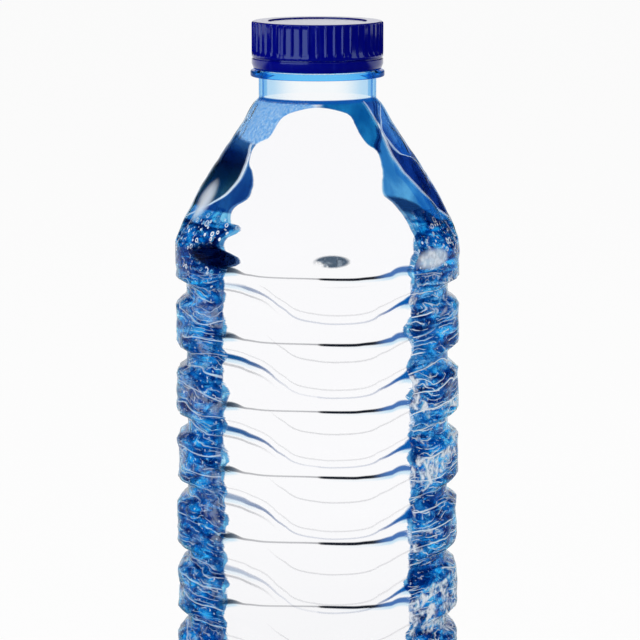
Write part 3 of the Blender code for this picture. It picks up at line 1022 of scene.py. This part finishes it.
# %% Blue of the right panels
grain = clear.noise(240, 4.0, stretch=(1, 1, 0.5), distortion=0.6).step(0.3, 0.7)
streaky = clear.noise(60, 3.0, stretch=(3.0, 3.0, 0.35), distortion=0.5).step(0.35, 0.65)
# Painted light and shade: a plain corner, a bright panel, a dark one and a high one, each with its own blue.
corner = clear.blend(grain, srgb(8, 84, 152), srgb(26, 118, 182))
bright_panel = clear.blend(streaky, srgb(40, 116, 186), srgb(92, 172, 224))
dark_panel = clear.blend(streaky, srgb(10, 28, 90), srgb(42, 74, 148))
high_panel = clear.blend(streaky, srgb(22, 66, 150), srgb(62, 126, 204))
over_corner = height.step(163.6 * MM, 164.6 * MM)
in_high_panel = past_high.step(*EDGE_BLUR) * height.step(162 * MM, 163 * MM)
lower_shadow = below.step(0, 0.8 * MM) * (1 - below.step(3 * MM, 5 * MM))
corner_line = line(past_corner, 1.2, 1.6) * height.step(164 * MM, 165 * MM)
right_blue = clear.blend(past_corner.step(*EDGE_BLUR), corner, bright_panel)
right_blue = clear.blend(over_corner, bright_panel, right_blue)
right_blue = clear.blend(past_right.step(*EDGE_BLUR), right_blue, dark_panel)
right_blue = clear.blend(in_high_panel, right_blue, high_panel)
right_blue = clear.blend(lower_shadow, right_blue, srgb(20, 56, 108))
right_blue = clear.blend(below.step(3.4 * MM, 5 * MM), right_blue, body_blue)
right_blue = clear.blend(corner_line, right_blue, srgb(4, 30, 92))

# %% Blue of the left panels
# From the foot of the panel to its top.
TEAL_STOPS = [
    (0.0, srgb(60, 90, 120)),
    (0.30, srgb(30, 74, 104)),
    (0.48, srgb(16, 48, 74)),
    (0.64, srgb(10, 24, 58)),
    (0.78, srgb(12, 40, 90)),
    (1.0, srgb(52, 110, 176)),
]
# Painted shade: the left panel is darkest about two thirds of the way up, lighter at its foot and top.
teal_panel = clear.add("ShaderNodeValToRGB", {"stops": TEAL_STOPS}, (height - 150 * MM) / (18 * MM))
left_blue = clear.blend(streaky, srgb(14, 54, 126), srgb(28, 84, 152))
left_blue = clear.blend(past_left.step(*EDGE_BLUR), left_blue, teal_panel)
# A pale band of painted light low on the left panels.
pale_band = clear.blend(streaky, srgb(70, 150, 206), srgb(122, 200, 236))
in_pale_band = height.step(147.8 * MM, 148.2 * MM) * (1 - height.step(151.0 * MM, 151.6 * MM))
left_blue = clear.blend(in_pale_band, left_blue, pale_band)
left_blue = clear.blend(line(height - 147.4 * MM, 0.35 * MM, 0.3 * MM), left_blue, srgb(10, 50, 104))

frosted = (height - 166.4 * MM + (turned_to + 47) * 0.037 * MM).step(-0.3 * MM, 0.4 * MM) * to_left
hammered = clear.noise(1900, 3.0, stretch=(1, 1, 0.4)).step(0.30, 0.74)
frosted_blue = clear.blend(hammered, srgb(84, 154, 222), srgb(140, 194, 242))
left_blue = clear.blend(frosted, left_blue, frosted_blue)

# %% Blue of all the sides
near_blue = clear.blend(to_left, right_blue, left_blue)
panel_blue = clear.blend(far_half, near_blue, srgb(118, 186, 236))
side_blue = clear.blend(on_panels, body_blue, panel_blue)

# %% Dent shade, glare and painted highlights on the edges
# The dent's dark teal is painted shade.
dent_shade = mark(5.7, 141.9 * MM, 4.4 * MM, 1.5 * MM) * clear.noise(420, 2.0).step(0.36, 0.54)
glare = mark(-68, 153.0 * MM, 6.5 * MM, 4.6 * MM, 34, 0.0) * 0.62
# Painted highlights along the panels' edges.
panel_edge_highlights = line(past_left, 0.4, 1.2).largest(line(past_right, 0.5, 1.2))
panel_edge_highlights = panel_edge_highlights.largest(line(past_high, 0.5, 1.2)) * on_panels * (1 - frosted) * (1 - far_half)
frost = frosted * hammered * edge_on * (1 - far_half) * 0.18

# %% Where the ring and the neck's root are
from_axis = (across * across + depth * depth).power(0.5)
on_ring = height.step(RING_BASE - 0.2 * MM, RING_BASE) * (1 - height.step(RING_TOP, RING_TOP + 0.2 * MM))
on_ring = on_ring * from_axis.step(NECK_RADIUS, NECK_RADIUS + 0.3 * MM)
root_line = line(height - NECK_BASE, 0.3 * MM, 0.25 * MM) * (1 - far_half)

# %% Colour of the wall
CLEAR = srgb(254, 254, 255)
HAIR_LINE = srgb(30, 40, 70)
FRINGE_BLUE = srgb(120, 205, 240)
DENT_SHADE_BLUE = srgb(14, 62, 92)
EDGE_HIGHLIGHT_WHITE = srgb(214, 236, 255)
SHADE_OVAL_NAVY = srgb(6, 22, 60)

wall_colour = clear.blend(faint_lines, CLEAR, HAIR_LINE)
wall_colour = clear.blend(fringe, wall_colour, FRINGE_BLUE)
wall_colour = clear.blend(main_lines, wall_colour, line_shade)
wall_colour = clear.blend(dent_shade * 0.92, wall_colour, DENT_SHADE_BLUE)
wall_colour = clear.blend(edge_on, wall_colour, side_blue)
wall_colour = clear.blend(panel_edge_highlights * edge_on, wall_colour, EDGE_HIGHLIGHT_WHITE)
wall_colour = clear.blend(shade_oval * edge_on * (1 - far_half), wall_colour, SHADE_OVAL_NAVY)

# %% Colour of the neck and its ring
NECK_FRONT = srgb(252, 254, 255)
NECK_TURNED = srgb(216, 237, 251)
NECK_EDGE = srgb(96, 172, 230)
ROOT_BLUE = srgb(16, 88, 172)
RING_FRONT = srgb(40, 150, 244)
RING_SIDE = srgb(10, 74, 170)

neck_colour = clear.blend(facing.step(0.02, 0.4), NECK_FRONT, NECK_TURNED)
neck_colour = clear.blend(facing.step(0.55, 0.62), neck_colour, NECK_EDGE)
wall_colour = clear.blend(on_neck, wall_colour, neck_colour)
wall_colour = clear.blend(root_line, wall_colour, ROOT_BLUE)
ring_colour = clear.blend(abs(across).step(10.5 * MM, 14 * MM), RING_FRONT, RING_SIDE)
wall_colour = clear.blend(on_ring, wall_colour, ring_colour)

# %% Clear blue plastic
in_blue = abs(across).step(19 * MM, 23 * MM)
crinkles = clear.noise(60, 3.0, stretch=(1, 1, 2.8), distortion=0.8) + patches * 0.3
crinkle = clear.add("ShaderNodeBump", None, 0.5, 0.6 * MM, Height=crinkles * in_blue * on_body)
clear.set(Base_Color=wall_colour, Transmission_Weight=1.0, Roughness=0.03, IOR=1.06, Normal=crinkle)
print("nodes in the clear plastic", len(clear.tree.nodes))

# %% A white shader mixed over the clear for painted glints, glare and highlights, and for the frost
glint_white = clear.add("ShaderNodeBsdfPrincipled", None)
glint_white.node.inputs["Base Color"].default_value = (*srgb(240, 247, 255), 1)
glint_white.node.inputs["Roughness"].default_value = 0.5
glint_and_frost = painted_glints.largest(frost).largest(panel_edge_highlights * edge_on * 0.4)
glint_and_frost = glint_and_frost.largest(glare * edge_on * (1 - far_half))
mixed = clear.add("ShaderNodeMixShader", None, glint_and_frost, Wire(clear, clear.shader), glint_white)
clear.tree.links.new(mixed.node.outputs[0], clear.tree.nodes["Material Output"].inputs["Surface"])
bottle.data.materials.append(clear.material)
neck_thread.data.materials.append(clear.material)

# %% Cap and ring plastic
cap_blue = Recipe("deep_blue_plastic")
scuffs = cap_blue.noise(900, 4.0, stretch=(1, 1, 0.2)).step(0.55, 0.75)
cap_blue.set(
    Base_Color=cap_blue.blend(scuffs * 0.2, srgb(0, 4, 118), srgb(20, 34, 150)),
    Roughness=scuffs * 0.1 + 0.1,
    Specular_IOR_Level=0.5,
    Specular_Tint=(0.55, 0.75, 1.0, 1),
)
for piece in (cap, cap_thread, band):
    piece.data.materials.append(cap_blue.material)

# %% Ride the solids
for piece, body in (
    (bottle, "bottle"),
    (neck_thread, "bottle"),
    (cap, "cap"),
    (cap_thread, "cap"),
    (band, "band"),
):
    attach(piece, body)
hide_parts("bottle_shell")
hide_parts("screw_cap")
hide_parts("tamper_band")

# %% [markdown]
# ## The studio
#
# The photograph has a white ground all round. A white world does that for what the camera sees, directly or through
# the plastic, while the light that falls on the bottle stays at a plain level. The floor is white in the same way and
# keeps the shadow. Both are bright to a mirrored ray only behind the bottle, so the dark cap shows no pale veil.

# %% Floor
WHITE_GLOW = 0.93

bpy.ops.object.select_all(action="DESELECT")
bpy.ops.mesh.primitive_plane_add(size=8)
floor = bpy.context.object
floor.name = "floor"
ground = Recipe("white_floor")
ground.set(Roughness=0.9)
glow = ground.add("ShaderNodeEmission", None, (1, 1, 1, 1), 1.0)
shine = ground.add("ShaderNodeMixShader", None, 0.72)
ground.tree.links.new(ground.shader.outputs[0], shine.node.inputs[1])
ground.tree.links.new(glow.node.outputs[0], shine.node.inputs[2])
ray = ground.add("ShaderNodeLightPath")
spot = ground.add("ShaderNodeTexCoord").pick("Object")
back = ground.add("ShaderNodeSeparateXYZ", None, spot).pick("Y").step(0.1, 0.4)
mirrored = ray.pick("Is Glossy Ray") * back
unseen = ray.pick("Is Glossy Ray") - mirrored
ground.set(Base_Color=ground.blend(unseen, (0.9, 0.9, 0.9), (0.02, 0.02, 0.02)))
seen = ray.pick("Is Camera Ray").largest(mirrored).largest(ray.pick("Is Transmission Ray"))
ground.connect(seen * WHITE_GLOW, shine.node.inputs[0])
ground.tree.links.new(shine.node.outputs[0], ground.tree.nodes["Material Output"].inputs["Surface"])
floor.data.materials.append(ground.material)

# %% World
PLAIN_LIGHT = 0.5
SEEN_WHITE = 0.98
MIRRORED_DARK = 0.01

world = bpy.data.worlds.new("white_studio")
bpy.context.scene.world = world
world.use_nodes = True
sky = Sky(world)
sky_ray = sky.add("ShaderNodeLightPath")
direction = sky.add("ShaderNodeTexCoord").pick("Generated")
behind = sky.add("ShaderNodeSeparateXYZ", None, direction).pick("Y").step(0.93, 0.99)
glossy = sky_ray.pick("Is Glossy Ray")
sight = sky_ray.pick("Is Camera Ray").largest(sky_ray.pick("Is Transmission Ray"))
sight = sight.largest(glossy * behind) * (SEEN_WHITE - PLAIN_LIGHT)
dimmed = glossy * (1 - behind) * (PLAIN_LIGHT - MIRRORED_DARK)
sky.connect(sight + PLAIN_LIGHT - dimmed, sky.shader.inputs["Strength"])
sky.shader.inputs["Color"].default_value = (1, 1, 1, 1)

# %% Lamps
MIDDLE = Vector((0, 0, 0.1))
for name, place, size, watts in (
    ("key", (-0.736, -0.817, 0.35), 1.1, 9),
    ("fill", (1.1, -0.3, 0.6), 0.6, 2),
    ("top", (0.0, 0.2, 1.4), 1.2, 4),
):
    bpy.ops.object.light_add(type="AREA", location=place)
    lamp = bpy.context.object
    lamp.name = name
    lamp.data.size = size
    lamp.data.energy = watts
    lamp.rotation_euler = (MIDDLE - Vector(place)).to_track_quat("-Z", "Y").to_euler()

# %% [markdown]
# ## The camera
#
# The bottle is seen from straight in front and a little above the cap, from about a metre away. The picture's lower
# edge cuts it off below the sixth groove.

# %% Camera
SIGHT_WIDTH = 149.6 * MM
SIGHT_CENTRE = Vector((0.58 * MM, 0, 123.5 * MM))
EYE = Vector((0.58 * MM, -0.75, 0.246))
bpy.ops.object.camera_add(location=EYE)
camera = bpy.context.object
camera.rotation_euler = (SIGHT_CENTRE - EYE).to_track_quat("-Z", "Y").to_euler()
camera.data.sensor_width = 36
camera.data.lens = 36 * (SIGHT_CENTRE - EYE).length / SIGHT_WIDTH
bpy.context.scene.camera = camera
bpy.context.scene.view_settings.view_transform = "Standard"
